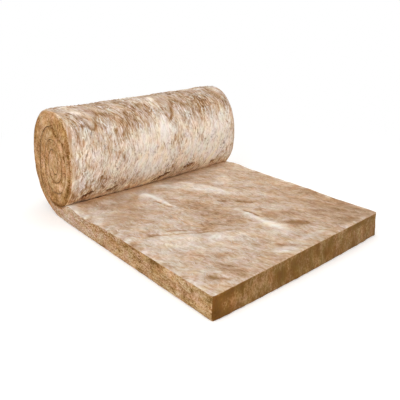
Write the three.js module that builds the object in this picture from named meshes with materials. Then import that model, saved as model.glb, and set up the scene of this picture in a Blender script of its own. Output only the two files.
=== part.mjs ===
// A roll of mineral wool insulation, partly unrolled: one continuous mat that lies flat
// at its free end and is wound up on top of itself at the other.
//
// Millimetres, +Z up. X runs across the mat, the free end faces -Y and the roll stands
// at +Y. The origin is on the floor, midway across and midway from the free end to the
// back of the roll.
//
// The mat is one section, drawn in the Y-Z plane and extruded across the width. Its
// wound part is a volute of quarter ellipses that join the roll's outermost points:
// back, top, front, bottom, and then the back again, one pressed turn further in. The
// slit between two turns runs through the whole width, so the turns show on both ends.

import * as THREE from 'three';

// The mat as it lies open, and the rounding of its cut edges.
const matWidth = 1200;
const matThickness = 125;
const edgeRound = 12;

// The roll, and the length of mat that lies open in front of it.
const openLength = 1109;
const rollDepth = 493;
const rollHeight = 644;

// The wool gives way under the roll and where it is wound. The depth is that of the
// outermost turn at the back, the height is what it would have there if it lay on top.
// Each turn is pressed tighter than the one around it, by this share.
const thicknessUnderRoll = 70;
const turnDepth = 80;
const turnHeight = 98;
const pressPerTurn = 0.8;

// The volute stops before its innermost turn is narrower than the core.
const coreWidth = 75;
const slitWidth = 2;

// The underside leaves the floor this far ahead of the roll's back.
const heelRun = 274;

// The open mat is level until this far ahead of the place where it dips under the roll,
// and it hugs the roll's underside from this angle before the roll's lowest point.
const dipRun = 100;
const hugAngle = THREE.MathUtils.degToRad(30);

// The roll leans towards the free end. These are the places of a turn's outermost
// points, as a share of its height from its bottom, or of its depth from its front.
const pointAt = { back: 0.32, top: 0.4, front: 0.545, bottom: 0.63 };

const arcSteps = 10;
const edgeSteps = 2;
const woolColour = 0xb98f63;

const quarter = Math.PI / 2;
const sideOrder = ['back', 'top', 'front', 'bottom'];

// How much mat lies between two turns, a number of quarters into the winding.
function pressedThickness(side, quarters) {
  const outermost = isUpright(side) ? turnDepth : turnHeight;
  return outermost * pressPerTurn ** (quarters / sideOrder.length);
}

function isUpright(side) {
  return side === 'back' || side === 'front';
}

// How far in the winding reaches on each side in turn, from the outermost turn's back
// to the core.
function voluteSides() {
  const sides = [
    { side: 'back', at: openLength + rollDepth },
    { side: 'top', at: rollHeight },
    { side: 'front', at: openLength },
    { side: 'bottom', at: thicknessUnderRoll },
  ];
  for (let quarters = 0; ; quarters += 1) {
    const { side, at } = sides[quarters];
    const inwards = side === 'back' || side === 'top' ? -1 : 1;
    const next = at + inwards * pressedThickness(side, quarters);
    const opposite = sides[quarters + sideOrder.length / 2].at;
    if (inwards * (opposite - next) < coreWidth) return sides;
    sides.push({ side, at: next });
  }
}

// The outermost point on each of those sides, placed between the side before it and the
// side after it.
function volutePoints() {
  const sides = voluteSides();
  return sides.slice(0, -1).map(({ side, at }, i) => {
    const before = i ? sides[i - 1].at : thicknessUnderRoll;
    const low = Math.min(before, sides[i + 1].at);
    const high = Math.max(before, sides[i + 1].at);
    const across = low + pointAt[side] * (high - low);
    return isUpright(side) ? { y: at, z: across, side } : { y: across, z: at, side };
  });
}

// The quarter ellipse that ends at one of those points and starts at the one before it.
function quarterArc(from, to) {
  const endsUpright = isUpright(to.side);
  const centre = endsUpright ? { y: from.y, z: to.z } : { y: to.y, z: from.z };
  const end = quarter * sideOrder.indexOf(to.side);
  return {
    y: centre.y,
    z: centre.z,
    halfDepth: Math.abs(endsUpright ? to.y - centre.y : from.y - centre.y),
    halfHeight: Math.abs(endsUpright ? from.z - centre.z : to.z - centre.z),
    start: end - quarter,
    end,
  };
}

// The same point on the face across the slit, one slit further out.
function acrossSlit(point) {
  const outwards = {
    back: { y: slitWidth, z: 0 },
    top: { y: 0, z: slitWidth },
    front: { y: -slitWidth, z: 0 },
    bottom: { y: 0, z: -slitWidth },
  }[point.side];
  return { ...point, y: point.y + outwards.y, z: point.z + outwards.z };
}

// The points along an arc after its first one, either way round.
function alongArc(arc) {
  const curve = new THREE.EllipseCurve(
    arc.y, arc.z, arc.halfDepth, arc.halfHeight, arc.start, arc.end,
  );
  return curve.getPoints(arcSteps).slice(1);
}

function backAlongArc(arc) {
  const curve = new THREE.EllipseCurve(
    arc.y, arc.z, arc.halfDepth, arc.halfHeight, arc.end, arc.start, true,
  );
  return curve.getPoints(arcSteps).slice(1);
}

// From the roll's foot, up the hugged part of its front and out onto the open mat.
function alongDip(frontArc) {
  const hugged = { ...frontArc, start: frontArc.end - hugAngle };
  const hug = backAlongArc(hugged);
  const lip = hug.at(-1);
  const slope = new THREE.Vector2(
    hugged.halfDepth * Math.sin(hugged.start),
    -hugged.halfHeight * Math.cos(hugged.start),
  ).normalize();
  const reach = (matThickness - lip.y) / slope.y;
  const crest = new THREE.Vector2(lip.x + slope.x * reach, matThickness);
  const level = new THREE.Vector2(lip.x - dipRun, matThickness);
  const fall = new THREE.QuadraticBezierCurve(lip, crest, level);
  return [...hug, ...fall.getPoints(arcSteps).slice(1)];
}

// The whole mat in section: along the floor, up the heel, in along the outer face of
// every turn, out along the inner face, and back over the top of the open mat.
function matSection() {
  const points = volutePoints();
  const heelStart = { y: points[0].y - heelRun, z: 0, side: 'bottom' };
  const outer = points.map((point, i) => quarterArc(i ? points[i - 1] : heelStart, point));
  const facing = points.map(acrossSlit);
  const inner = facing.slice(1).map((point, i) => quarterArc(facing[i], point));
  const foot = sideOrder.length - 1;
  return new THREE.Shape([
    new THREE.Vector2(0, 0),
    new THREE.Vector2(heelStart.y, heelStart.z),
    ...outer.flatMap(alongArc),
    new THREE.Vector2(facing.at(-1).y, facing.at(-1).z),
    ...inner.slice(foot).reverse().flatMap(backAlongArc),
    ...alongDip(inner[foot - 1]),
    new THREE.Vector2(0, matThickness),
  ]);
}

function woolMaterial() {
  return new THREE.MeshStandardMaterial({ color: woolColour, roughness: 1, metalness: 0 });
}

// The section across the full width, with the cut edges rounded inwards.
function woolMat() {
  const geometry = new THREE.ExtrudeGeometry(matSection(), {
    depth: matWidth - 2 * edgeRound,
    bevelEnabled: true,
    bevelThickness: edgeRound,
    bevelSize: edgeRound,
    bevelOffset: -edgeRound,
    bevelSegments: edgeSteps,
  });
  geometry.translate(0, 0, edgeRound - matWidth / 2);
  geometry.rotateX(quarter);
  geometry.rotateZ(quarter);
  const mat = new THREE.Mesh(geometry, woolMaterial());
  mat.name = 'wool_mat';
  mat.position.y = -(openLength + rollDepth) / 2;
  return mat;
}

const insulationRoll = new THREE.Group();
insulationRoll.add(woolMat());

export default insulationRoll;
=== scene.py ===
"""A roll of mineral wool insulation, partly unrolled, dressed for display.

Metres, +Z up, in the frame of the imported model: X runs across the mat, the free end faces
-Y and the roll stands at +Y. The mat is worked out flat, as a soft box with its own
length, width and thickness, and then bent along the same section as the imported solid.
Loose strands of fibre are laid on its two big faces and bent in the same way.
"""

import math
from functools import cached_property
from typing import NamedTuple

import bpy
import numpy as np
from mathutils import Euler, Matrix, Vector


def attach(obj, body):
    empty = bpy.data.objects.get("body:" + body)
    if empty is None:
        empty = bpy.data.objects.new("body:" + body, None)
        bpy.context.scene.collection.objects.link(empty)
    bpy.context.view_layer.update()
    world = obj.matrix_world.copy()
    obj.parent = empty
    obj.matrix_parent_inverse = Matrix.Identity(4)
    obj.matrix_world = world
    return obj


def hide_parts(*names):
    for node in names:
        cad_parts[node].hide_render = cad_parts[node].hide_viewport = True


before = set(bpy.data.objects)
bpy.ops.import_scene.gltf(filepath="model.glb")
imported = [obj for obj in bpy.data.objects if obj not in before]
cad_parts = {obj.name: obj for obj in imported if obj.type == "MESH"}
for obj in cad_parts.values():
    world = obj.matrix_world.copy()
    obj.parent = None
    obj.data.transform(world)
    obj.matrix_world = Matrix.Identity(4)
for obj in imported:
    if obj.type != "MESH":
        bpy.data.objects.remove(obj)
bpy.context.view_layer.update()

bl_info = {
    "name": "Mineral Wool Roll",
    "version": (1, 0, 0),
    "blender": (4, 5, 0),
    "location": "3D View > Sidebar > Wool Roll",
    "description": "Makes a partly unrolled roll of mineral wool insulation and its studio",
    "category": "Add Mesh",
}


def linear(hex_colour):
    """The linear values of an sRGB colour: a straight foot, then a 2.4 power curve."""
    srgb = np.array([int(hex_colour[i : i + 2], 16) for i in (1, 3, 5)]) / 255
    low = srgb / 12.92
    high = ((srgb + 0.055) / 1.055) ** 2.4
    return tuple(np.where(srgb <= 0.04045, low, high).tolist())


# ---------------------------------------------------------------- sizes and colours


def number(name, description, default, **settings):
    return bpy.props.FloatProperty(
        name=name, description=description, default=default, **settings
    )


def length(name, description, default):
    settings = {"min": 0, "unit": "LENGTH", "subtype": "DISTANCE", "precision": 4}
    return number(name, description, default, **settings)


def share(name, description, default):
    return number(name, description, default, min=0, max=1, subtype="FACTOR")


def angle(name, description, degrees):
    return number(name, description, math.radians(degrees), unit="ROTATION", subtype="ANGLE")


def vector(name, description, default, **settings):
    return bpy.props.FloatVectorProperty(
        name=name, description=description, default=default, size=len(default), **settings
    )


def colour(name, description, hex_colour):
    return vector(name, description, linear(hex_colour), min=0, max=1, subtype="COLOR")


class MatSizes(bpy.types.PropertyGroup):
    """The mat and the way it is wound."""

    width: length("Width", "Across the mat", 1.2)
    thickness: length("Thickness", "Of the mat where it lies open", 0.125)
    open_length: length("Open length", "Of the mat that lies in front of the roll", 1.109)
    roll_depth: length("Roll depth", "From the roll's front to its back", 0.493)
    roll_height: length("Roll height", "From the floor to the roll's top", 0.644)
    under_roll: length("Thickness under roll", "Of the mat where the roll rests", 0.07)
    turn_depth: length("Turn depth", "Thickness of the outermost turn at the back", 0.08)
    turn_height: length("Turn height", "What that thickness would be on top", 0.098)
    press: share("Press per turn", "Thickness of a turn, as a share of the one outside", 0.8)
    core_width: length("Core width", "Least width of the innermost curl", 0.075)
    slit: length("Slit", "Gap between two turns", 0.002)
    heel_run: length("Heel run", "From where the mat leaves the floor to the back", 0.274)
    dip_run: length("Dip run", "Over which the open mat dips under the roll", 0.1)
    hug: angle("Hug", "Of the roll's underside that the open mat lies against", 30)
    lean: vector(
        "Lean",
        "Places of a turn's back, top, front and bottom points",
        (0.32, 0.4, 0.545, 0.63),
        min=0,
        max=1,
    )
    facet: length("Facet", "Size of the mesh faces where the wool shows", 0.0083)
    open_round: length("Open edge", "Rounding of the open mat's cut edges", 0.009)
    roll_round: length("Roll edge", "Rounding of the cut edges round the roll", 0.02)
    slit_round: length("Slit edge", "Rounding of the cut edges along the slits", 0.0025)
    corner_round: length("Corner", "Rounding of the free end's two corners, seen flat", 0.022)


class StrandSizes(bpy.types.PropertyGroup):
    """The loose strands on the mat's faces."""

    length: length("Length", "Of a common strand", 0.055)
    width: length("Width", "Of a wide strand at its middle", 0.005)
    per_area: number("Per area", "Strands on each square metre", 2600, min=0)


class WoolFinish(bpy.types.PropertyGroup):
    """The colours of the wool."""

    skin_deep: colour("Skin, deep", "Where the veil is thin and the wool shadowed", "#8e683f")
    skin_tan: colour("Skin, tan", "Bare wool", "#b89679")
    skin_cream: colour("Skin, cream", "Wool under the veil", "#d3bfae")
    skin_pale: colour("Skin, pale", "Where the veil is thick", "#f1e7dd")
    cut_shadow: colour("Cut, shadow", "The depth of a hollow or a slit", "#523710")
    cut_deep: colour("Cut, deep", "Hollows of a cut face", "#704e21")
    cut_mid: colour("Cut, mid", "A cut face", "#b49067")
    cut_light: colour("Cut, light", "Fibre ends that catch the light", "#d8c0a8")
    pit: colour("Pit", "The shadow in a small hole", "#66421f")


class Studio(bpy.types.PropertyGroup):
    """The floor, lamps and camera."""

    floor: colour("Floor", "Of the floor and the backdrop", "#f2f0ee")
    level: number("Level", "Strength of all the lamps", 1, min=0)
    eye: vector(
        "Eye",
        "Where the camera stands",
        (-1.719, -2.016, 1.209),
        unit="LENGTH",
        subtype="TRANSLATION",
    )
    turn: angle("Turn", "The camera's heading, from +Y towards +X", 40.91)
    tilt: angle("Tilt", "How far the camera looks down", 22.39)
    lens: number("Lens", "Focal length, in millimetres", 44.49, unit="CAMERA")


# ---------------------------------------------------------------- formulas in common


def ease_between(low, high, value):
    """0 up to the first bound, 1 from the second, and an S-curve between them."""
    part = np.clip((value - low) / (high - low), 0, 1)
    return part * part * (3 - 2 * part)


def within(stretch, value):
    """1 within a stretch and 0 outside it. The stretch is where it sets in, is full,
    begins to fade and has gone."""
    set_in, full, fading, gone = stretch
    return ease_between(set_in, full, value) * ease_between(gone, fading, value)


def bell(value, middle, reach):
    """A bell curve, 1 at its middle and 1/e where the value is one reach away."""
    return np.exp(-(((value - middle) / reach) ** 2))


def noise(seed, *places):
    """Smooth random values from about -1 to 1, at places with up to three coordinates.
    Every corner of the unit cell round a place has a random slope, and the eight slopes
    are blended by a fifth-order ease."""
    points = np.stack(np.broadcast_arrays(*places, 0.0, 0.0)[:3], -1)
    cell = np.floor(points).astype(np.int64)
    part = points - cell
    ease = part**3 * (part * (part * 6 - 15) + 10)
    total = np.zeros(points.shape[:-1])
    for corner in np.ndindex(2, 2, 2):
        at = (cell + corner).astype(np.uint64)
        mixed = at[..., 0] * np.uint64(0x9E3779B97F4A7C15)
        mixed ^= at[..., 1] * np.uint64(0xC2B2AE3D27D4EB4F)
        mixed ^= at[..., 2] * np.uint64(0x165667B19E3779F9)
        mixed ^= np.uint64(seed * 7919 + 12345)
        mixed ^= mixed >> np.uint64(31)
        mixed *= np.uint64(0xBF58476D1CE4E5B9)
        mixed ^= mixed >> np.uint64(29)
        reach = part - corner
        slope = 0
        for axis in range(3):
            bits = (mixed >> np.uint64(20 * axis)) & np.uint64(0xFFFFF)
            slope = slope + (bits / 0x80000 - 1) * reach[..., axis]
        total += np.where(corner, ease, 1 - ease).prod(-1) * slope
    return total * 1.6


def layered_noise(layers, seed, *places):
    """Noise with finer and weaker layers added, each half the size and strength."""
    total = 0
    for layer in range(layers):
        finer = (place * 2**layer for place in places)
        total = total + noise(seed + layer, *finer) / 2**layer
    return total


# ---------------------------------------------------------------- the section

SIDES = ("back", "top", "front", "bottom")
OUTWARDS = {"back": (1, 0), "top": (0, 1), "front": (-1, 0), "bottom": (0, -1)}


def is_upright(side):
    return side in ("back", "front")


def volute_sides(sizes):
    """How far in the winding reaches on each side in turn. Each side comes one pressed
    turn further in than the last time round, until the core."""
    sides = [
        ("back", sizes.open_length + sizes.roll_depth),
        ("top", sizes.roll_height),
        ("front", sizes.open_length),
        ("bottom", sizes.under_roll),
    ]
    quarters = 0
    while True:
        side, at = sides[quarters]
        inwards = -1 if side in ("back", "top") else 1
        outermost = sizes.turn_depth if is_upright(side) else sizes.turn_height
        reach = at + inwards * outermost * sizes.press ** (quarters / 4)
        if inwards * (sides[quarters + 2][1] - reach) < sizes.core_width:
            return sides
        sides.append((side, reach))
        quarters += 1


def volute_points(sizes):
    """The outermost point on each of those sides, placed between the side before it and
    the side after it. Points are (y, z), and their sides come with them."""
    sides = volute_sides(sizes)
    points = []
    for i, (side, at) in enumerate(sides[:-1]):
        before = sides[i - 1][1] if i else sizes.under_roll
        low, high = sorted((before, sides[i + 1][1]))
        across = low + sizes.lean[SIDES.index(side)] * (high - low)
        points.append((at, across) if is_upright(side) else (across, at))
    return np.array(points), [side for side, at in sides[:-1]]


def quarter_arc(start, end, end_side, turned):
    """Points on the quarter ellipse from start to end, at these shares of the quarter:
    the centre plus the first half-axis by a cosine and the second by a sine."""
    centre = np.where([is_upright(end_side), not is_upright(end_side)], start, end)
    turned = np.asarray(turned)[:, None] * math.pi / 2
    return centre + (start - centre) * np.cos(turned) + (end - centre) * np.sin(turned)


def line(start, end, along):
    along = np.asarray(along)[:, None]
    return (1 - along) * np.asarray(start) + along * np.asarray(end)


def path_lengths(points):
    steps = np.linalg.norm(np.diff(points, axis=0), axis=1)
    return np.concatenate([[0], np.cumsum(steps)])


class Section:
    """The mat's section as pairs of points, one on its outer face and one on its inner
    face, from the free end to the core. The outer face is the underside of the open mat
    and the outside of every turn. A place along the section is a number of pairs."""

    samples = 240
    core_share = 0.85

    def __init__(self, sizes):
        points, sides = volute_points(sizes)
        facing = points + sizes.slit * np.array([OUTWARDS[side] for side in sides])
        heel = np.array([points[0][0] - sizes.heel_run, 0])
        at = np.linspace(0, 1, self.samples)
        self.sizes = sizes

        hugged = 1 - sizes.hug / (math.pi / 2)
        hug = quarter_arc(facing[2], facing[3], "bottom", hugged + (1 - hugged) * at)
        lip = hug[0]
        slope = hug[0] - hug[1]
        crest = lip + slope * (sizes.thickness - lip[1]) / slope[1]
        crest[1] = sizes.thickness
        level = np.array([lip[0] - sizes.dip_run, sizes.thickness])
        bend = at[:, None]
        dip = (1 - bend) ** 2 * level + 2 * bend * (1 - bend) * crest + bend**2 * lip

        self.zones = ["open", "dip", "hug"]
        floor = [(0, 0), (level[0], 0), (lip[0], 0), heel]
        outer = [line(start, end, at) for start, end in zip(floor, floor[1:])]
        inner = [line((0, sizes.thickness), level, at), dip, hug]
        last = len(points) - 1
        for i in range(last - 3):
            before = points[i - 1] if i else heel
            outer.append(quarter_arc(before, points[i], sides[i], at))
            inner.append(quarter_arc(facing[i + 3], facing[i + 4], sides[i + 4], at))
            self.zones.append("turn %d" % i)
        for i in range(2):
            ahead, behind = last - 3 + i, last - i
            outer.append(quarter_arc(points[ahead - 1], points[ahead], sides[ahead], at))
            back = quarter_arc(points[behind - 1], points[behind], sides[behind], at)
            inner.append(back[::-1])
            self.zones.append("core")
        for face in (outer, inner):
            face[-1] = face[-1][: int(self.core_share * self.samples)]
        self.zone_ends = np.cumsum([len(part) for part in outer]) - 1
        middle = [(sizes.open_length + sizes.roll_depth) / 2, 0]
        self.outer = np.concatenate(outer) - middle
        self.inner = np.concatenate(inner) - middle
        self.outer_run = path_lengths(self.outer)
        self.inner_run = path_lengths(self.inner)
        self.depth = np.linalg.norm(self.inner - self.outer, axis=1)
        self.steps = np.arange(len(self.outer), dtype=float)
        self.outer_lay, self.inner_lay = self.lay_of_fibres()

    def zone_end(self, name):
        return float(self.zone_ends[self.zones.index(name)])

    def read(self, table, at):
        if table.ndim == 1:
            return np.interp(at, self.steps, table)
        return np.stack([np.interp(at, self.steps, column) for column in table.T], -1)

    def lay_of_fibres(self):
        """How far the fibres have strayed across the mat by each place along it, for its
        outer and its inner face: the slope of their lay, added up along the face."""
        heel, step = self.zone_end("hug"), self.samples
        turns = np.array([0, 1, 1.75, 2.2, 2.7, 3.2, 4])
        slopes = [0.1, 0.1, 0.15, 0.45, 0.45, 0.0, -0.22, -0.22]
        outer_slope = np.interp(self.steps, [0, *(heel + turns * step)], slopes)
        outer = np.cumsum(outer_slope * np.gradient(self.outer_run))
        inner = np.cumsum(-0.18 * np.gradient(self.inner_run))
        return outer, inner

    def visible_shares(self, at):
        """How much of the outer and of the inner face shows, from 0 to 1. The underside
        lies on the floor, and inner turns lie against each other."""
        heel, foot, lip = (self.zone_end(name) for name in ("hug", "turn 3", "dip"))
        step = self.samples
        shown = (heel + 0.1 * step, heel + 0.35 * step, foot - 0.55 * step, foot - 0.3 * step)
        return within(shown, at), ease_between(lip + 0.5 * step, lip + 0.1 * step, at)

    def bend(self, at, across, through, ahead=0.0):
        """Points of the bent mat. A flat point is a place along the section, a distance
        across, and a depth through the mat from its outer face, which is laid off on
        the line between the pair of points there. ahead runs out past the free end."""
        outer = self.read(self.outer, at)
        inner = self.read(self.inner, at)
        side = outer + (inner - outer) * (through / self.read(self.depth, at))[..., None]
        return np.stack([across, side[..., 0] - ahead, side[..., 1]], -1)


# ---------------------------------------------------------------- places and tones

# Patches of the veil, in metres. Each row starts at a distance along its face from the
# free end and a distance across, and ends at another two. Then come its width at either
# end, how much thicker the veil lies there, how much of the nap is left, and its height.
# A fold is pale and stands up, its paleness partly a painted highlight, with a thin
# painted shadow beside it. A tongue is a smooth flap with a sunken tip, whose dark line is
# painted shade. Patches with no height are only paler or browner, and where the veil is
# far too thin the colour is darkened further, painted shade in the deep gaps at the roll's foot.
OPEN_PATCHES = (
    (1.06, -0.186, 0.79, -0.163, 0.026, 0.006, 0.45, 0.3, 0.006),
    (0.93, -0.2, 0.8, -0.182, 0.006, 0.004, -0.5, 0.5, -0.004),
    (0.18, 0.052, 0.27, 0.056, 0.048, 0.04, 0.34, 0.5, 0.003),
    (0.25, 0.045, 0.54, 0.072, 0.034, 0.018, 0.22, 0.5, 0.005),
    (0.5, 0.084, 0.4, 0.09, 0.005, 0.006, -0.6, 0.5, -0.004),
    (0.53, 0.1, 0.42, 0.118, 0.014, 0.012, 0.2, 0.6, 0.002),
    (0.06, -0.15, 0.07, 0.16, 0.03, 0.03, 0.25, 0.8, 0),
    (0.01, 0.31, 0.01, 0.48, 0.018, 0.02, 0.25, 1, 0),
    (0.18, 0.14, 0.2, 0.18, 0.03, 0.025, -0.25, 1, 0),
    (0.33, -0.16, 0.34, -0.12, 0.03, 0.03, -0.25, 1, 0),
    (0.45, 0.13, 0.46, 0.17, 0.025, 0.025, -0.22, 1, 0),
    (0.73, 0.2, 1.08, 0.09, 0.03, 0.02, 0.3, 0.8, 0.003),
    (0.88, 0.28, 0.92, 0.33, 0.05, 0.05, 0.25, 1, 0),
    (0.1, -0.45, 0.45, -0.22, 0.15, 0.12, 0.06, 1, 0),
    (0.55, -0.4, 0.3, -0.2, 0.05, 0.06, 0.15, 1, 0.003),
    (0.05, 0.5, 0.42, 0.46, 0.16, 0.14, -0.2, 0.7, 0),
    (0.5, -0.06, 0.76, -0.1, 0.08, 0.08, -0.2, 1, -0.002),
    (0.4, -0.32, 0.48, -0.19, 0.035, 0.05, -0.22, 1, 0),
    (1.14, -0.02, 0.8, 0.125, 0.045, 0.035, 0.28, 0.8, 0),
    (0.37, 0.13, 0.31, 0.25, 0.04, 0.04, -0.2, 1, 0),
    (0.05, -0.4, 0.14, -0.42, 0.04, 0.035, -0.28, 1, 0),
    (0.21, -0.37, 0.22, -0.34, 0.03, 0.03, -0.15, 1, 0),
    (0.46, 0.06, 0.28, 0.055, 0.01, 0.018, 0.22, 0.5, 0),
    (0.88, -0.42, 1.12, -0.3, 0.09, 0.06, -0.18, 0.5, 0),
    (0.05, -0.47, 0.12, -0.52, 0.014, 0.012, -0.42, 1, -0.003),
    (0.55, 0.19, 0.61, 0.15, 0.015, 0.015, -0.45, 1, -0.003),
    (0.66, 0.09, 0.69, 0.07, 0.012, 0.012, -0.4, 1, -0.002),
    (0.06, -0.03, 0.1, -0.08, 0.018, 0.018, -0.35, 1, -0.002),
    (0.17, 0.2, 0.23, 0.15, 0.02, 0.02, -0.45, 0.6, -0.002),
    (0.06, -0.59, 0.13, -0.585, 0.02, 0.02, 0.3, 0.7, 0),
    (1.04, -0.28, 1.07, -0.24, 0.03, 0.03, -0.18, 1, 0),
    (0.56, 0.08, 0.52, 0.11, 0.025, 0.03, -0.28, 1, 0),
    (0.47, -0.23, 0.58, -0.38, 0.01, 0.01, -0.35, 1, -0.002),
    (0.6, -0.48, 0.375, -0.14, 0.009, 0.008, -0.3, 1, -0.003),
    (0.53, -0.5, 0.3, -0.14, 0.035, 0.035, 0.13, 1, 0.002),
    (1.14, -0.59, 1.24, -0.585, 0.03, 0.035, 0.4, 0.5, 0),
)
ROLL_PATCHES = (
    (2.33, -0.43, 2.45, -0.445, 0.055, 0.035, 0.08, 0.35, 0.005),
    (2.39, -0.372, 2.487, -0.44, 0.006, 0.01, -0.6, 0.6, -0.006),
    (2.455, -0.48, 2.487, -0.447, 0.006, 0.009, -0.3, 0.6, -0.004),
    (2.33, 0.1, 2.455, 0.095, 0.055, 0.035, 0.08, 0.35, 0.005),
    (2.37, 0.15, 2.497, 0.092, 0.006, 0.01, -0.6, 0.6, -0.006),
    (2.47, 0.055, 2.497, 0.088, 0.006, 0.009, -0.3, 0.6, -0.004),
    # Painted highlights on the raised tops of the two tongues.
    (2.36, -0.5, 2.37, -0.49, 0.02, 0.02, 0.6, 0.3, 0.004),
    (2.32, 0.02, 2.33, 0.03, 0.02, 0.02, 0.6, 0.3, 0.004),
    (2.55, 0.01, 2.6, 0.02, 0.035, 0.03, 0.3, 0.3, 0.003),
    (2.51, -0.49, 2.54, -0.49, 0.02, 0.02, 0.2, 0.5, 0.003),
    (2.5, -0.54, 2.66, -0.535, 0.035, 0.035, -0.22, 1, 0),
    (2.42, -0.19, 2.52, -0.22, 0.045, 0.045, -0.32, 1.1, 0),
    (2.38, -0.1, 2.4, -0.05, 0.03, 0.03, -0.3, 1.1, 0),
    (2.39, -0.35, 2.42, -0.32, 0.02, 0.02, -0.2, 1, 0),
    (2.37, -0.53, 2.4, -0.51, 0.02, 0.02, 0.25, 0.6, 0),
    (2.33, -0.24, 2.36, -0.22, 0.03, 0.03, 0.15, 0.8, 0),
    (2.4, 0.16, 2.44, 0.38, 0.045, 0.05, -0.24, 1.1, 0),
    (2.45, 0, 2.49, 0.02, 0.03, 0.03, 0.35, 0.8, 0),
    (2.45, 0.2, 2.47, 0.23, 0.025, 0.025, 0.25, 0.8, 0),
    (2.51, 0.27, 2.53, 0.33, 0.025, 0.03, -0.35, 1, 0),
    (2.52, 0.5, 2.71, 0.46, 0.03, 0.045, 0.34, 0.9, 0),
    (2.34, 0.47, 2.39, 0.5, 0.035, 0.035, -0.25, 1, 0),
    (2.66, -0.5, 2.69, -0.46, 0.035, 0.035, -0.34, 1, 0),
    (2.78, -0.55, 2.81, -0.53, 0.025, 0.025, -0.22, 1, 0),
    (2.8, -0.5, 2.85, -0.41, 0.03, 0.025, -0.3, 1, 0),
    (2.85, -0.58, 2.86, -0.56, 0.025, 0.025, -0.3, 1, 0),
    (2.65, 0.35, 2.69, 0.49, 0.035, 0.045, 0.28, 1, 0),
    (2.35, -0.45, 2.36, -0.42, 0.02, 0.025, -0.3, 1, 0),
    (2.14, -0.57, 2.18, -0.53, 0.03, 0.025, -0.45, 1, 0),
    (2.44, -0.29, 2.47, -0.26, 0.025, 0.025, -0.26, 1, 0),
    (2.62, -0.24, 2.64, -0.21, 0.025, 0.025, 0.25, 1, 0),
    (2.39, -0.36, 2.4, -0.3, 0.03, 0.03, -0.2, 1, 0),
    (2.56, -0.07, 2.76, -0.1, 0.06, 0.06, 0.3, 0.55, 0),
    (2.56, 0.42, 2.74, 0.5, 0.07, 0.05, 0.25, 1, 0),
    (2.66, 0.305, 2.68, 0.32, 0.02, 0.02, -0.45, 1, -0.003),
    (2.65, -0.28, 2.675, -0.265, 0.018, 0.018, -0.4, 1, -0.003),
    (2.59, -0.37, 2.62, -0.36, 0.025, 0.025, -0.15, 1, 0),
    (2.53, -0.53, 2.56, -0.46, 0.04, 0.035, -0.22, 1, 0),
    (2.53, 0.03, 2.6, 0.07, 0.035, 0.03, 0.2, 1, 0),
    # Painted shade low on the roll's front, above the crevice.
    (2.77, -0.43, 2.83, -0.27, 0.042, 0.035, -0.5, 1.2, 0),
    (2.72, -0.56, 2.74, -0.47, 0.03, 0.03, -0.18, 1.2, 0),
    (2.84, -0.02, 2.82, 0.12, 0.022, 0.02, -0.2, 1, 0),
    (2.81, 0.18, 2.77, 0.44, 0.025, 0.022, -0.12, 1, 0),
    (2.68, 0.22, 2.76, 0.4, 0.06, 0.06, 0.2, 0.7, 0),
    # The next seven rows are painted shade in the crevice where the roll meets the open mat: a
    # thin dark line along it and the deep gaps.
    (2.915, -0.58, 2.9, -0.3, 0.02, 0.015, -0.3, 1, 0),
    (2.905, -0.515, 2.86, -0.465, 0.007, 0.009, -3.2, 0.3, -0.014),
    (2.905, 0.025, 2.87, 0.08, 0.008, 0.011, -4.2, 0.3, -0.014),
    (2.915, -0.03, 2.905, 0, 0.006, 0.006, -1.5, 0.4, -0.008),
    (2.89, -0.36, 2.87, -0.3, 0.006, 0.007, -1.6, 0.5, -0.008),
    (2.86, 0.2, 2.84, 0.27, 0.006, 0.007, -1.6, 0.5, -0.008),
    (2.87, 0.42, 2.86, 0.45, 0.007, 0.007, -1.5, 0.4, -0.008),
    (2.76, -0.585, 2.8, -0.6, 0.025, 0.02, 0.3, 0.5, 0),
    (2.82, 0.42, 2.86, 0.56, 0.04, 0.04, 0.25, 0.8, 0),
    (2.8, 0.24, 2.81, 0.3, 0.03, 0.03, 0.12, 1, 0),
    # Painted shade at the left end of the roll's foot.
    (2.905, -0.58, 2.96, -0.5, 0.028, 0.03, -0.35, 0.9, 0),
)

# The loss of veil from which painted shade darkens the colour: the deep gaps at the roll's foot.
NICK_SHADE_FROM = 0.6

# Blots on the cut faces: the middle and the half widths of each, and how much lighter the
# wool is there. Those of the side are by the distance from the free end and the height,
# those of the winding by their place in the section, and those of the free end by the
# distance across and the height.
SIDE_BLOTS = (
    (0.126, 0.086, 0.014, 0.012, -0.6),
    (0.01, 0.105, 0.02, 0.018, -0.4),
    (0.177, 0.04, 0.03, 0.03, -0.2),
    (0.523, 0.065, 0.03, 0.014, -0.35),
    (0.676, 0.05, 0.014, 0.01, -0.5),
    # These two are painted shadow under the veil that hangs over the top edge.
    (0.545, 0.114, 0.045, 0.007, -0.45),
    (0.39, 0.114, 0.03, 0.007, -0.45),
    (0.283, 0.02, 0.05, 0.02, 0.15),
    (0.5, 0.025, 0.05, 0.03, -0.3),
    (0.43, 0.095, 0.035, 0.03, -0.3),
    (0.215, 0.045, 0.025, 0.03, 0.35),
)
WINDING_BLOTS = (
    (0.5, 0.565, 0.045, 0.03, -0.35),
    (0.47, 0.515, 0.035, 0.012, -0.3),
    (0.429, 0.495, 0.012, 0.022, -0.35),
    (0.392, 0.473, 0.007, 0.014, -0.8),
    (0.396, 0.399, 0.008, 0.01, -0.6),
    (0.465, 0.253, 0.01, 0.009, -0.6),
    (0.538, 0.401, 0.012, 0.009, -0.4),
    (0.694, 0.232, 0.012, 0.01, -0.5),
    (0.482, 0.2, 0.028, 0.018, 0.45),
    (0.562, 0.289, 0.06, 0.03, 0.25),
    (0.554, 0.225, 0.08, 0.015, -0.2),
    (0.579, 0.115, 0.07, 0.025, -0.15),
    (0.609, 0.56, 0.04, 0.04, 0.15),
)
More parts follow.
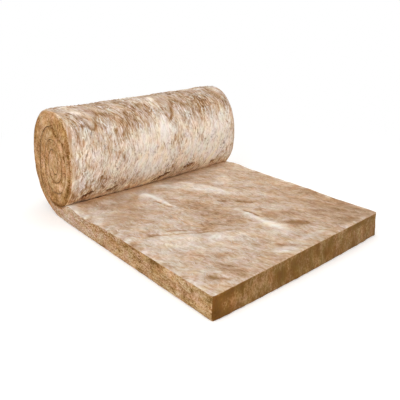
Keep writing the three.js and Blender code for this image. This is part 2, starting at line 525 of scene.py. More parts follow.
END_BLOTS = (
    (-0.583, 0.03, 0.025, 0.02, -0.35),
    (-0.59, 0.085, 0.022, 0.045, -0.25),
    (-0.54, 0.11, 0.05, 0.012, -0.3),
    (-0.52, 0.055, 0.04, 0.033, 0.33),
    (-0.44, 0.075, 0.008, 0.04, -0.35),
    (-0.41, 0.055, 0.035, 0.035, 0.12),
    (-0.2, 0.055, 0.04, 0.035, -0.25),
    (-0.3, 0.065, 0.045, 0.03, 0.1),
    (-0.09, 0.08, 0.035, 0.03, -0.22),
    (0.06, 0.1, 0.014, 0.03, -0.35),
    (0.131, 0.055, 0.025, 0.025, -0.2),
    (0.05, 0.03, 0.06, 0.022, 0.15),
    (0.163, 0.09, 0.03, 0.02, -0.25),
    (0.23, 0.075, 0.035, 0.03, 0.2),
    (0.4, 0.112, 0.09, 0.012, -0.3),
    (0.439, 0.06, 0.06, 0.03, 0.18),
    (0.377, 0.012, 0.02, 0.014, -0.35),
)

# Stretches of the big faces, by the distance along them from the free end: where each
# sets in, is full, begins to fade and has gone. The first four are on the open mat's top
# and the others on the outer face.
HEAVE = (0.95, 1.15, 1.28, 1.38)
BED = (0.98, 1.2, 1.3, 1.38)
HUNG_VEIL = (0.5, 0.6, 1.4, 1.5)
# Painted shade on the cut sides under the roll.
SHADE_BELOW_ROLL = (1.22, 1.27, 1.4, 1.5)
ROLL_BACK = (1.8, 2.0, 2.15, 2.28)
ROLL_TOP = (2.2, 2.3, 2.35, 2.5)
GREYISH_TOP = (2.2, 2.3, 2.48, 2.58)
LOWER_FRONT = (2.65, 2.88, 2.98, 3.09)
# Painted warm shade at the roll's foot.
WARM_FOOT = (2.75, 2.95, 3.1, 3.3)
# Painted shade at the roll's foot.
FOOT_SHADE = (2.85, 2.97, 3.1, 3.25)

# Curves by the same distances: how thick the veil lies on the roll and on the open mat,
# both paler next to the crevice in front of the roll as painted light against the shade
# there; how wide and how strong the painted shade in the hollow inside the roll's rim is;
# how far the veil hangs over the left cut; and how far the cuts stand out beside the roll,
# on the right and the left.
ROLL_VEIL_AND_PAINTED_LIGHT = (
    (1.3, 0.45), (1.8, 0.5), (2.1, 0.45), (2.28, 0.40), (2.46, 0.46), (2.56, 0.79),
    (2.74, 0.90), (2.80, 0.81), (2.86, 0.57), (2.89, 0.60), (2.92, 0.68), (3.0, 0.68),
)
OPEN_VEIL_AND_PAINTED_LIGHT = ((0, 0.35), (0.3, 0.44), (1.16, 0.46), (1.2, 0.5), (1.24, 0.7))
HOLLOW_SHADE_WIDTH = ((2.6, 0.009), (2.95, 0.018))
HOLLOW_SHADE_STRENGTH = ((2.3, 0), (2.45, 0.15), (2.6, 0.6), (2.9, 1))
HANG = ((0.5, 0), (0.62, 0.012), (0.78, 0.05), (0.92, 0.11), (1.1, 0.16))
RIGHT_OVERHANG = ((1.3, 0.7), (2.3, 0.4), (2.65, 0.9), (2.85, 1.7), (3.1, 1.6))
LEFT_OVERHANG = ((1.4, 0), (1.7, 1), (2.9, 1), (3.1, 0.5))


def curve(pairs, value):
    """What a table of pairs gives for a value, straight from each pair to the next."""
    return np.interp(value, *zip(*pairs))


def patch_strength(patch, run, across):
    """How strong a patch is at each place, from 0 to 1: a bell curve of the distance from
    the line between its ends, against a width that tapers along that line."""
    start, end = np.array(patch[:2]), np.array(patch[2:4])
    start_width, end_width = patch[4:6]
    reach = end - start
    place = np.stack([run, across], -1) - start
    along = np.clip(place @ reach / (reach @ reach), 0, 1)
    aside = np.linalg.norm(place - along[..., None] * reach, axis=-1)
    return bell(aside, 0, start_width + along * (end_width - start_width))


def blots_added(blots, along, height):
    """The blots' shades added up, each a bell curve over its two half widths."""
    return sum(
        shade * bell(along, middle, half_length) * bell(height, middle_height, half_height)
        for middle, middle_height, half_length, half_height, shade in blots
    )


class Wool:
    """The wool at flat places of the mat: its relief, its veil and its colour. A place is
    given along the section, across the mat from its middle and through it from its outer
    face, and is on the inner or the outer of the two big faces."""

    def __init__(self, section, at, across, through=0.0, inner_side=False):
        self.section, self.sizes = section, section.sizes
        self.at, self.across, self.through = at, across, through
        self.inner_side = np.asarray(inner_side)
        self.depth = section.read(section.depth, at)
        self.outer_run = section.read(section.outer_run, at)
        self.inner_run = section.read(section.inner_run, at)
        self.mean_run = 0.5 * self.outer_run + 0.5 * self.inner_run
        self.run = np.where(inner_side, self.inner_run, self.outer_run)
        self.outer_shows, self.inner_shows = section.visible_shares(at)
        self.shows = np.where(inner_side, self.inner_shows, self.outer_shows)
        self.wound = ease_between(section.zone_end("dip"), section.zone_end("turn 0"), at)
        # Far enough apart for the patterns of the two faces to differ.
        self.face = np.where(inner_side, 7.0, 0.0)

    def blobs(self, seed, along, across, layers=1):
        """A pattern of this size on the big faces."""
        places = (self.run / along, self.across / across, self.face)
        return layered_noise(layers, seed, *places)

    def streaks(self, seed, along, across):
        """A pattern of this size that follows the lay of the fibres."""
        return noise(seed, self.run / along, self.stray / across, self.face)

    def cut_blobs(self, seed, along, high, layers=1):
        """A pattern of this size on the cut sides."""
        places = (self.inner_run / along, self.through / high, self.across)
        return layered_noise(layers, seed, *places)

    def end_blobs(self, seed, across, high, layers=1):
        """A pattern of this size on the cut free end."""
        return layered_noise(layers, seed, self.across / across, self.through / high)

    @cached_property
    def stray(self):
        """Distance across the lay of the fibres, which wander off it in slow swirls."""
        section = self.section
        inner_lay = section.read(section.inner_lay, self.at)
        outer_lay = section.read(section.outer_lay, self.at)
        place = (self.run / 0.28, self.across / 0.28, self.face)
        finer = (part * 6 for part in place)
        swirl = 0.03 * layered_noise(2, 11, *place) + 0.006 * noise(14, *finer)
        return self.across - np.where(self.inner_side, inner_lay, outer_lay) + swirl

    @cached_property
    def folds(self):
        return self.streaks(31, 0.13, 0.04)

    @cached_property
    def patches(self):
        """The patches added up: change of veil, share of nap left, and height. Their
        edges are ragged, because each place is first moved by a noise."""
        run, across = (
            place
            + 0.009 * self.blobs(seed, 0.05, 0.05)
            + 0.006 * self.blobs(seed + 1, 0.017, 0.017)
            for place, seed in ((self.run, 91), (self.across, 93))
        )
        veil, nap, height = np.zeros(run.shape), np.ones(run.shape), np.zeros(run.shape)
        for table, here in ((OPEN_PATCHES, self.inner_side), (ROLL_PATCHES, ~self.inner_side)):
            for patch in table:
                more, nap_left, lift = patch[6:]
                strength = patch_strength(patch, run, across) * here
                veil += strength * more
                nap *= 1 + strength * (nap_left - 1)
                height += strength * lift
        return veil, nap, height

    def nick_shade(self):
        """How dark the painted shade is, from 0 to 1, in the deepest patches: the gaps at the
        roll's foot.
        """
        return np.clip(-self.patches[0] - NICK_SHADE_FROM, 0, 1)

    def skin_relief(self):
        """Height of the two big faces: soft lumps, then folds and finer ridges that
        follow the fibres. The roll's top droops, and its back is fuller on the left."""
        softer = np.where(self.inner_side, 0.65, 1)
        lumps = 0.004 * self.blobs(21, 0.2, 0.2, layers=2)
        ridged = (0.0022 * self.folds + 0.0014 * self.streaks(41, 0.06, 0.018)) * softer
        top = within(ROLL_TOP, self.run) * ~self.inner_side
        back = within(ROLL_BACK, self.run) * ~self.inner_side
        droop = -0.005 * top - 0.010 * top * ease_between(-0.12, -0.32, self.across)
        fuller = 0.006 * back * ease_between(-0.3, -0.55, self.across)
        return lumps + ridged + droop + fuller + self.patches[2]

    def cut_relief(self):
        """Height of the cut faces: a slow waver and a rough grain."""
        run, across, through = self.mean_run, self.across, self.through
        waver = 0.003 * noise(51, run / 0.3, across / 0.3, through / 0.5)
        return waver + 0.002 * noise(61, run / 0.035, across / 0.035, through / 0.014)

    def sag(self):
        """Height that the open mat's top has over its even thickness. It droops along
        its left edge, most of all next to the roll. It is fuller on the right and along
        the free end, where it is crowned. Under the roll it gives way, and it heaves up
        beside the roll on the right."""
        run, across = self.inner_run, self.across
        right = np.clip(across / self.sizes.width + 0.5, 0, 1)
        near_roll = ease_between(0.75, 1.15, run)
        droop = -0.011 * (1 - right) ** 1.5 - 0.02 * near_roll * (1 - right) ** 6
        fuller = 0.006 * right + 0.007 * right * ease_between(0.1, 0.5, run)
        middle = 1 - (2 * across / self.sizes.width) ** 2
        crown = (0.003 + 0.009 * middle) * ease_between(0.5, 0.0, run)
        bed = 0.009 * within(BED, run) * ease_between(-0.7, -0.1, across)
        heave = 0.014 * ease_between(0.3, 0.6, across) * within(HEAVE, run)
        return (droop + fuller + crown) * ease_between(1.3, 1.05, run) - bed + heave

    def veil_and_nap(self):
        """How thick the pale veil lies and how much its nap stands out, from 0 to 1: its
        broad run round the roll, then clouds drawn out along the fibres, folds that catch
        more of it, and the patches. Next to the crevice in front of the roll the broad run
        is paler, painted light against the shade there. Beside the cuts it is thin on the
        roll and ragged on the open mat."""
        inner_side, run = self.inner_side, self.run
        fingers = 0.05 * self.streaks(74, 0.25, 0.035)
        # Next to the crevice both curves run paler: painted light against the shade there.
        broad = np.where(inner_side, curve(OPEN_VEIL_AND_PAINTED_LIGHT, run), curve(ROLL_VEIL_AND_PAINTED_LIGHT, run + fingers))
        aslant = self.stray + np.where(inner_side, 0.4, 0) * run
        clouds = layered_noise(3, 71, run / 0.3, aslant / 0.12, self.face)
        tatters = noise(76, run / 0.09, aslant / 0.045, self.face)
        veil = broad + np.where(inner_side, 0.15, 0.3) * clouds
        veil = veil + 0.12 * tatters + 0.08 * self.folds
        matted = 0.76 + 0.4 * self.blobs(78, 0.1, 0.1) + 0.25 * ease_between(2.66, 2.8, run)
        nap = self.patches[1] * np.where(inner_side, 0.31, np.clip(matted, 0.3, 1.2))
        edge = ease_between(0.05, 0.008, 0.5 * self.sizes.width - np.abs(self.across))
        on_roll = 0.9 * edge * self.outer_shows * ~inner_side
        torn_edge = (0.05 + 0.5 * self.blobs(79, 0.05, 0.05)) * edge * inner_side
        veil = veil + self.patches[0] + (0.38 - veil) * on_roll + torn_edge
        return np.clip(veil, 0, 1), nap * (1 - 0.5 * on_roll)

    def cut_tone(self):
        """How light the cut sides are, from -1 to 1, how much veil hangs over them and
        how coarse they look. Painted shade darkens the slits, the hollow inside the roll's rim,
        most of all near the roll's foot, the foot itself, and the top of the open mat's cut
        sides under the roll. Arcs of darker wool follow the turns. The rim is veiled, and the
        veil hangs over the left edge next to the roll."""
        through, across, depth = self.through, self.across, self.depth
        run, outer_run, wound = self.inner_run, self.outer_run, self.wound
        left = ease_between(0, -0.3, across)
        broken = np.clip(0.5 + 0.9 * noise(81, run / 0.12, across, across), 0.1, 1)
        slits = (bell(through, 0, 0.007) + bell(depth - through, 0, 0.007)) * broken
        slits = slits * wound * (1 - self.outer_shows)
        foot = within(FOOT_SHADE, outer_run) * bell(through, 0, 0.012)
        below = within(SHADE_BELOW_ROLL, run) * bell(depth - through, 0, 0.008)
        wide = curve(HOLLOW_SHADE_WIDTH, outer_run)
        hollow = bell(through - self.sizes.roll_round, wide / 2, wide) * self.outer_shows
        hollow = hollow * curve(HOLLOW_SHADE_STRENGTH, outer_run)
        arcs = self.cut_blobs(83, 0.2, 0.035, layers=2)
        blots = self.cut_blobs(86, 0.09, 0.06)
        shade = (0.2 * arcs + 0.1 * blots - 0.02) * wound + 0.16 * blots * (1 - wound)
        # Painted shade in the slits, in the hollow inside the rim, at the roll's foot and under
        # the roll.
        shade = shade - 0.1 * slits - 0.65 * hollow - 0.6 * np.maximum(foot, below)
        jitter = 0.012 * self.cut_blobs(87, 0.03, 0.03)
        bent = self.section.bend(self.at, across, through) + jitter[..., None]
        spots = (1 - wound) * blots_added(SIDE_BLOTS, run + jitter, through + 0.5 * jitter)
        spots = spots + wound * blots_added(WINDING_BLOTS, bent[..., 1], bent[..., 2])

        thick = ease_between(0.95, 1.2, run) * left
        ragged = 0.012 * self.cut_blobs(88, 0.04, 0.1)
        hung = ease_between(-0.012, 0.015, through + curve(HANG, run) + ragged - depth)
        hung = hung * within(HUNG_VEIL, run) * left
        right_edge = ease_between(0, 0.3, across) * ease_between(0.02, 0.006, depth - through)
        hung = np.maximum(hung, right_edge * ease_between(1.3, 1.2, run))
        hung = np.maximum(hung, 0.1 * (1 - wound))
        cap = bell(outer_run, 2.375, 0.03) * ease_between(0.035, 0.02, through) * left
        rim = ease_between(1.3, 0.9, through / self.sizes.roll_round) * self.outer_shows
        rim = np.maximum(rim * ease_between(2.25, 2.4, outer_run), 2.2 * cap)
        shade = shade + spots * (across < 0) + 0.4 * cap - 0.07 * thick * hung * (1 - cap)
        coarse = 0.92 * (1 - (0.15 + 0.5 * thick) * hung) * (1 - 0.6 * cap)
        return shade, np.maximum((0.6 + 0.15 * thick) * hung, 0.45 * rim), coarse

    def end_shade(self):
        """How light the cut free end is: blotched, and darker than the cut sides, which is
        painted shade for the lesser light that falls on it. It is darker still at the foot of
        its left corner, and lighter towards the right."""
        across, through = self.across, self.through
        corner = ease_between(-0.45, -0.6, across) * ease_between(0.12, 0.02, through)
        blotched = 0.10 * self.end_blobs(96, 0.16, 0.16, layers=2)
        blotched = blotched + 0.10 * self.end_blobs(98, 0.05, 0.15)
        blotched = blotched + 0.12 * self.end_blobs(99, 0.035, 0.05)
        jitter = 0.012 * self.end_blobs(97, 0.03, 0.03)
        spots = 0.75 * blots_added(END_BLOTS, across + jitter, through + 0.5 * jitter)
        # The -0.47 darkens the whole free end: painted shade.
        return -0.47 + blotched + spots - 0.24 * corner + 0.03 * ease_between(-0.5, 0.5, across)

    def skin_warmth(self):
        """How warm the colour of the big faces is: 0 is greyish, 0.25 is plain and 1 is
        orange. It is warm in the crevice in front of the roll, which is painted warm shade, and
        greyish in patches over the roll's top, and the open mat is warmer on its right."""
        inner_run, outer_run, across = self.inner_run, self.outer_run, self.across
        right = across / self.sizes.width + 0.5
        inner = 0.02 + 0.4 * right**2 * ease_between(0.0, 0.3, inner_run)
        # Painted warm shade in the crevice in front of the roll, on the open mat.
        inner = inner + (0.75 - inner) * ease_between(1.10, 1.19, inner_run)
        inner = inner + 0.25 * ease_between(1.19, 1.23, inner_run)
        left_edge = ease_between(-0.53, -0.585, across) * (inner_run > 0.9)
        inner = inner * (1 - 0.8 * left_edge)
        top = within(GREYISH_TOP, outer_run)
        patchy = noise(66, outer_run / 0.12, across / 0.16)
        outer = 0.25 + top * (0.2 * patchy - 0.2)
        # Painted warm shade in the crevice, on the roll's foot.
        outer = outer + (0.65 - outer) * ease_between(2.80, 2.89, outer_run)
        outer = outer + 0.25 * ease_between(2.89, 2.91, outer_run)
        outer = outer + 0.15 * ease_between(-0.57, -0.595, across) * (1 - top)
        return np.clip(np.where(self.inner_side, inner, outer), 0, 1)

    def cut_warmth(self):
        """The same for the cut sides: plain on the open mat, warmer on the winding, and
        most of all at its foot, where it is painted warm shade."""
        # Painted warm shade at the winding's foot.
        foot = within(WARM_FOOT, self.outer_run) * ease_between(0.08, 0.0, self.through)
        return 0.33 + 0.3 * self.wound + 0.15 * foot

    def end_warmth(self):
        """The same for the cut free end: greyish, but warm at its left corner."""
        corner = ease_between(-0.40, -0.58, self.across)
        return 0.1 * ease_between(0.3, -0.3, self.across) + 0.6 * corner

    def bulge(self):
        """How far the roll's lower front swells out and presses on the open mat, and how
        far the roll stands out over its round section at the top of its left end, where
        it is squarer."""
        across = self.across
        shoulder = 0.042 * bell(self.outer_run, 2.43, 0.1) * ease_between(-0.25, -0.6, across)
        swell = 0.008 * ease_between(-0.7, -0.1, across) + 0.012 * ease_between(0.4, 0.6, across)
        uneven = 0.006 * noise(82, across / 0.09)
        return (swell + uneven) * within(LOWER_FRONT, self.outer_run) + shoulder

    def overhang(self, through):
        """How far the cut sides stand out sideways, beyond the mat's width: the winding
        has wandered outwards, and the open mat's sides are uneven at their foot."""
        wound = ease_between(
            self.section.zone_end("dip"), self.section.zone_end("hug"), self.at
        )
        left = ease_between(-0.3, -0.6, self.across)
        right = ease_between(0.3, 0.6, self.across)
        foot = ease_between(1, 0.2, through / self.sizes.thickness)
        roll = 0.016 * right * curve(RIGHT_OVERHANG, self.outer_run)
        roll = roll - 0.007 * left * curve(LEFT_OVERHANG, self.outer_run)
        open_part = 0.008 * right * (0.25 + 0.75 * foot) - 0.006 * left * foot
        return wound * roll + (1 - wound) * open_part

    def bow(self, across, through):
        """How far the free end stands out: it is bowed, and its foot is ragged and
        stands out further."""
        middle = 1 - (2 * across / self.sizes.width) ** 2
        foot = ease_between(0.8, 0.1, through / self.sizes.thickness)
        ragged = 0.005 * noise(95, across / 0.05, through / 0.05)
        return 0.012 * middle + foot * (0.006 + ragged)

    def round_corners(self, run, across, near_end):
        """Flat places with those outside the free end's round corners moved onto their
        arcs."""
        radius, half_width = self.sizes.corner_round, 0.5 * self.sizes.width
        ahead = radius - run
        outwards = np.abs(across) - (half_width - radius)
        reach = np.hypot(ahead, outwards)
        outside = near_end & (ahead > 0) & (outwards > 0) & (reach > radius)
        pull = np.where(outside, radius / np.maximum(reach, radius), 1)
        moved = np.sign(across) * (half_width - radius + outwards * pull)
        run = np.where(outside, radius - ahead * pull, run)
        return run, np.where(outside, moved, across)

    def settled(self, run):
        """Points of the mat as it lies. Flat places that carry their relief are moved by
        the sag, the bulge, the overhang and the bow, and then bent along the section.
        run is their distance from the free end, ahead of which the bow reaches."""
        section, at, bow_reach = self.section, self.at, 0.3
        through = self.through * (1 + self.sag() / self.depth)
        through = through - self.bulge() * (1 - through / self.depth)
        aside = self.overhang(through)
        near_end = (run < bow_reach) & (at < section.zone_end("dip"))
        run, across = self.round_corners(run, self.across, near_end)
        run = run - self.bow(across, through) * ease_between(bow_reach, 0, run)
        at = np.where(near_end, np.interp(run, section.inner_run, section.steps), at)
        ahead = np.where(near_end, np.maximum(-run, 0), 0)
        return section.bend(at, across + aside, through, ahead)


# ---------------------------------------------------------------- meshes

EDGE_STEPS = 3


def edge_offsets(radius):
    """Distances in from a rounded edge to where its arc has turned by even angles."""
    turned = np.linspace(math.pi / 4, 0, EDGE_STEPS + 1)
    return np.multiply.outer(radius, 1 - np.tan(turned))


def spread(low_radius, high_radius, span, inside):
    """Distances from one rounded edge to the other: the two arcs' steps and even steps
    between them. Radii and spans are one for each row."""
    low = edge_offsets(low_radius)
    high = span[:, None] - edge_offsets(high_radius)[:, ::-1]
    between = np.linspace(0, 1, inside + 1)[1:-1]
    middle = low[:, -1:] + (high[:, :1] - low[:, -1:]) * between
    return np.concatenate([low, middle, high], 1)


def station_places(section):
    """Places of the mesh's rows along the section: about one facet apart where a big
    face shows, and further apart in the hidden turns. The first few follow the rounding
    of the free end."""
    sizes, hidden_facets, least_gap = section.sizes, 1.7, 1.5
    outer_shows, inner_shows = section.visible_shares(section.steps)
    outer_step = np.gradient(section.outer_run)
    inner_step = np.gradient(section.inner_run)
    seen_step = np.maximum(outer_step * (outer_shows > 0), inner_step * (inner_shows > 0))
    hidden_step = np.maximum(outer_step, inner_step) / hidden_facets
    shows = np.maximum(outer_shows, inner_shows) > 0
    rows = np.cumsum(np.where(shows, seen_step, hidden_step)) / sizes.facet
    places = np.interp(np.linspace(rows[0], rows[-1], int(rows[-1])), rows, section.steps)
    edge = np.interp(edge_offsets(sizes.open_round), section.inner_run, section.steps)
    return np.concatenate([edge, places[places > edge[-1] + least_gap]])


class FaceList:
    """Faces of any number of corners, kept as arrays, each with the sheet it is in."""

    def __init__(self):
        self.corners = []
        self.counts = []
        self.sheets = []

    def add(self, corners, sheet):
        corners = np.asarray(corners)
        self.corners.append(corners.ravel())
        self.counts.append(np.full(len(corners), corners.shape[1]))
        self.sheets.append(np.full(len(corners), sheet))

    def add_strip(self, low, high, sheet):
        """Four-cornered faces between two rows of corners."""
        self.add(np.stack([low[:-1], high[:-1], high[1:], low[1:]], -1), sheet)

    def add_blocks(self, low, high, step, low_is_fine, sheet):
        """Faces between a fine row and a coarse one, each with every fine corner from
        one coarse corner to the next."""
        block = np.arange(0, len(low) - 1, step)[:, None] + np.arange(step + 1)
        if low_is_fine:
            parts = [high[block[:, [0, -1]]], low[block[:, ::-1]]]
        else:
            parts = [low[block[:, :1]], high[block], low[block[:, -1:]]]
        self.add(np.concatenate(parts, 1), sheet)


def new_mesh(name, points, faces):
    """A mesh from arrays, the corners that are used, and each face corner's number among
    them. Corners that no face uses are left out."""
    counts = np.concatenate(faces.counts)
    used, corners = np.unique(np.concatenate(faces.corners), return_inverse=True)
    mesh = bpy.data.meshes.new(name)
    mesh.vertices.add(len(used))
    mesh.vertices.foreach_set("co", points[used].astype(np.float32).ravel())
    mesh.loops.add(len(corners))
    mesh.loops.foreach_set("vertex_index", corners.astype(np.int32))
    mesh.polygons.add(len(counts))
    starts = np.concatenate([[0], np.cumsum(counts)[:-1]])
    mesh.polygons.foreach_set("loop_start", starts.astype(np.int32))
    mesh.polygons.foreach_set("use_smooth", np.ones(len(counts), bool))
    mesh.update(calc_edges=True)
    mesh.validate()
    return mesh, used, corners


def add_map(mesh, places):
    layer = mesh.uv_layers.new(name="Fibre lay")
    layer.data.foreach_set("uv", places.astype(np.float32).ravel())


def add_values(mesh, name, values):
    layer = mesh.attributes.new(name, "FLOAT", "POINT")
    layer.data.foreach_set("value", values.astype(np.float32))


OUTER_SKIN, FAR_CUT, INNER_SKIN, NEAR_CUT, END_CUT, CURL_END = range(6)


class Rings:
    """The corners and faces of the mat's mesh: rings round the mat's cross-section, one
    at each place along it, and the corners inside the free end. A ring runs out along
    the outer face, up the far cut, back along the inner face and down the near cut.
    row, column and layer number each corner's place along, across and through."""

    # The columns that stay fine beside each cut, and those that one coarse step spans.
    margin = 4
    coarse_step = 22

    def __init__(self, section):
        sizes = section.sizes
        self.section = section
        fine = 2 * self.margin
        coarse = round((sizes.width / sizes.facet - fine) / self.coarse_step)
        self.inside_across = fine + self.coarse_step * coarse
        self.inside_through = 2 * round(0.5 * sizes.thickness / sizes.facet)
        self.columns = columns = self.inside_across + 2 * EDGE_STEPS
        self.layers = layers = self.inside_through + 2 * EDGE_STEPS
        across, through = np.arange(columns), np.arange(layers)
        sides = (
            (across, 0 * across),
            (0 * through + columns, through),
            (columns - across, 0 * across + layers),
            (0 * through, layers - through),
        )
        self.ring = np.concatenate([np.stack(side, -1) for side in sides])
        self.end = np.indices((columns - 1, layers - 1)).reshape(2, -1).T + 1
        self.at = station_places(section)
        rows = len(self.at)
        self.row = np.append(
            np.repeat(np.arange(rows), len(self.ring)), np.zeros(len(self.end), int)
        )
        rings = np.tile(self.ring, (rows, 1))
        self.column, self.layer = np.concatenate([rings, self.end]).T

    def edge_radii(self):
        """Rounding of the outer and of the inner face's edges, for each row. It is
        uneven along the slits, and half as much behind the roll as over its top."""
        section, sizes, at = self.section, self.section.sizes, self.at
        outer_run = section.read(section.outer_run, at)
        uneven = np.clip(0.6 + 0.7 * noise(89, outer_run / 0.15), 0.15, 1.2)
        slit_round = sizes.slit_round * uneven
        roll_round = sizes.roll_round * np.interp(outer_run, [2.0, 2.3], [0.5, 1])
        outer = np.where(at < section.zone_end("hug"), sizes.open_round, slit_round)
        outer = outer + (roll_round - outer) * section.visible_shares(at)[0]
        inner = np.where(at < section.zone_end("dip"), sizes.open_round, slit_round)
        most = 0.35 * section.read(section.depth, at)
        return np.minimum(outer, most), np.minimum(inner, most)

    def settled(self):
        """Each corner's flat place, the direction in which it faces and its point in the
        bent mat. The relief moves it out from the centre of its edge's rounding."""
        section, sizes, row = self.section, self.section.sizes, self.row
        round_outer, round_inner = self.edge_radii()
        width = np.full(len(self.at), sizes.width)
        depth = section.read(section.depth, self.at)
        outer = spread(round_outer, round_outer, width, self.inside_across)
        inner = spread(round_inner, round_inner, width, self.inside_across)
        through = spread(round_outer, round_inner, depth, self.inside_through)

        inner_half = self.layer > self.layers // 2
        radius = np.where(inner_half, round_inner[row], round_outer[row])
        across = np.where(inner_half, inner[row, self.column], outer[row, self.column])
        across = across - sizes.width / 2
        through = through[row, self.layer]
        place = self.at[row]
        wool = Wool(section, place, across, through, inner_half)
        # Only the open mat is near enough to the free end to face it. For the rest any
        # longer distance does.
        far = 1.0
        run = np.where(place < section.zone_end("dip"), wool.inner_run, far)
        core_across = np.clip(across, radius - sizes.width / 2, sizes.width / 2 - radius)
        core_through = np.clip(through, radius, depth[row] - radius)
        core = np.stack([core_across, core_through, np.maximum(run, radius)], -1)
        out = np.stack([across, through, run], -1) - core
        out = out / np.maximum(np.linalg.norm(out, axis=1, keepdims=True), 1e-9)

        # The ends of the winding are crowned, turn by turn, and dip inside the rim.
        crown = wool.wound * (0.003 * (1 - (2 * through / depth[row] - 1) ** 2) - 0.002)
        crown -= 0.006 * wool.outer_shows * bell(through, 1.2 * sizes.roll_round, 0.007)
        height = wool.skin_relief() * wool.shows * out[:, 1] ** 2
        height = height + wool.cut_relief() * (out[:, 0] ** 2 + out[:, 2] ** 2)
        height = height + crown * out[:, 0] ** 2
        final = core + (radius + height)[:, None] * out
        return wool, out, Wool(section, place, final[:, 0], final[:, 1]).settled(final[:, 2])

    def faces(self):
        """All the faces. The big ones have fine columns only where they show and near
        the cuts."""
        columns, layers, step = self.columns, self.layers, self.coarse_step
        rows, count = len(self.at), len(self.ring)
        corner = np.arange(rows * count).reshape(rows, count)
        corner = np.concatenate([corner, corner[:, :1]], 1)
        start = EDGE_STEPS + self.margin
        end = columns - start
        kept = np.r_[0:start, start:end:step, end : columns + 1]
        turn_up, turn_back, turn_down = columns, columns + layers, 2 * columns + layers
        outer_shows, inner_shows = self.section.visible_shares(self.at)
        at_free_end = np.arange(rows) == 0
        skins = (
            (OUTER_SKIN, np.arange(columns + 1), (outer_shows > 0) | at_free_end),
            (INNER_SKIN, np.arange(turn_back, turn_down + 1), inner_shows > 0),
        )
        faces = FaceList()
        for i, (low, high) in enumerate(zip(corner, corner[1:])):
            faces.add_strip(low[turn_up : turn_back + 1], high[turn_up : turn_back + 1], FAR_CUT)
            faces.add_strip(low[turn_down:], high[turn_down:], NEAR_CUT)
            for sheet, ring, fine in skins:
                if fine[i] and fine[i + 1]:
                    faces.add_strip(low[ring], high[ring], sheet)
                elif not fine[i] and not fine[i + 1]:
                    faces.add_strip(low[ring[kept]], high[ring[kept]], sheet)
                else:
                    for side in (ring[: start + 1], ring[end:]):
                        faces.add_strip(low[side], high[side], sheet)
                    middle = ring[start : end + 1]
                    faces.add_blocks(low[middle], high[middle], step, fine[i], sheet)

        cap = np.zeros((columns + 1, layers + 1), int)
        cap[tuple(self.ring.T)] = np.arange(count)
        cap[tuple(self.end.T)] = rows * count + np.arange(len(self.end))
        for low, high in zip(cap, cap[1:]):
            faces.add_strip(low, high, END_CUT)
        curl_end = np.concatenate(
            [
                skins[0][1][kept],
                np.arange(turn_up + 1, turn_back),
                skins[1][1][kept],
                np.arange(turn_down + 1, count),
            ]
        )
        faces.add(corner[-1][curl_end[::-1] % count][None, :], CURL_END)
        return faces


def mat_mesh(section):
    """The whole mat as one closed surface, with rounded edges, relief and the bend, its
    pattern map, and the values by which its finishes change from place to place."""
    rings = Rings(section)
    flat, out, points = rings.settled()
    faces = rings.faces()
    mesh, used, corners = new_mesh("wool_roll", points, faces)
    out = out[used]
    wool = Wool(
        section, flat.at[used], flat.across[used], flat.through[used], flat.inner_side[used]
    )

    # The pattern runs along the wool. It is shorter and broader on the open mat's top,
    # and on the cut ends of the winding it is shorter along the turns and coarser.
    face_sheets = np.concatenate(faces.sheets)
    sheets = np.repeat(face_sheets, np.concatenate(faces.counts))
    is_skin = np.isin(sheets, (OUTER_SKIN, INNER_SKIN))[:, None]
    squeezed = np.where(wool.inner_side[:, None], (1.3, 0.75), (1, 1))
    skin_map = np.stack([wool.run, wool.stray], -1) * squeezed
    wound_from = wool.mean_run[wool.at >= section.zone_end("hug")].min()
    along = wool.mean_run + 0.5 * np.maximum(wool.mean_run - wound_from, 0)
    cut_map = np.stack([along, wool.through * (1 - 0.4 * wool.wound)], -1)
    end_map = np.stack([wool.through, wool.across], -1)
    flat_map = np.where((sheets == END_CUT)[:, None], end_map[corners], cut_map[corners])
    add_map(mesh, np.where(is_skin, skin_map[corners], flat_map))

    on_cut = np.hypot(out[:, 0], out[:, 2]) > 0.75
    on_end = on_cut & (out[:, 2] < -0.6)
    hidden = ~on_cut & (wool.shows == 0)
    veil, nap = wool.veil_and_nap()
    shade, hung, coarse = wool.cut_tone()
    nick_shade = wool.nick_shade()
    end_veil = 0.15 + 0.13 * ease_between(0, 0.5, wool.across)
    # For each value, what it is on the free end, on the sides, where a big face is
    # hidden, and where one shows.
    values = {
        "veil": (end_veil, hung, 0, veil),
        "nap": (0.5, coarse, 1, nap),
        # A hidden big face, seen only down a slit, is darker there: painted shade.
        "shade": (wool.end_shade(), shade, -0.2, 0),
        # Painted shade in the deep gaps at the roll's foot.
        "nick_shade": (0, 0, nick_shade, nick_shade),
        "warmth": (wool.end_warmth(), wool.cut_warmth(), 0.25, wool.skin_warmth()),
    }
    for name, (*kinds, on_skin) in values.items():
        add_values(mesh, name, np.select([on_end, on_cut, hidden], kinds, on_skin))

    face_starts = np.cumsum(np.concatenate([[0], np.concatenate(faces.counts)[:-1]]))
    shows = np.maximum.reduceat(wool.shows[corners], face_starts) > 0
    cut_faces = ~(np.isin(face_sheets, (OUTER_SKIN, INNER_SKIN)) & shows)
    mesh.polygons.foreach_set("material_index", cut_faces.astype(np.int32))
    return mesh


class Strewing(NamedTuple):
    """How loose strands are strewn on a big face, between two distances along it: how
    crowded they are, as a share of the usual number, how far they turn from the lay of
    the fibres, how high they lie at most, how thick they are for their width, how much
    nap they have, and how far their tones differ."""

    name: str
    inner_side: bool
    first_run: float
    last_run: float
    crowd: float
    turning: float
    lift: float
    thickness: float
    nap: float
    tone: float


STREWINGS = (
    Strewing("roll_strands", False, 1.45, 2.88, 1, 0.5, 0.0025, 0.7, 0.8, 0.22),
    Strewing("open_strands", True, 0.03, 1.18, 0.6, 0.35, 0.0012, 0.4, 0.6, 0.12),
)


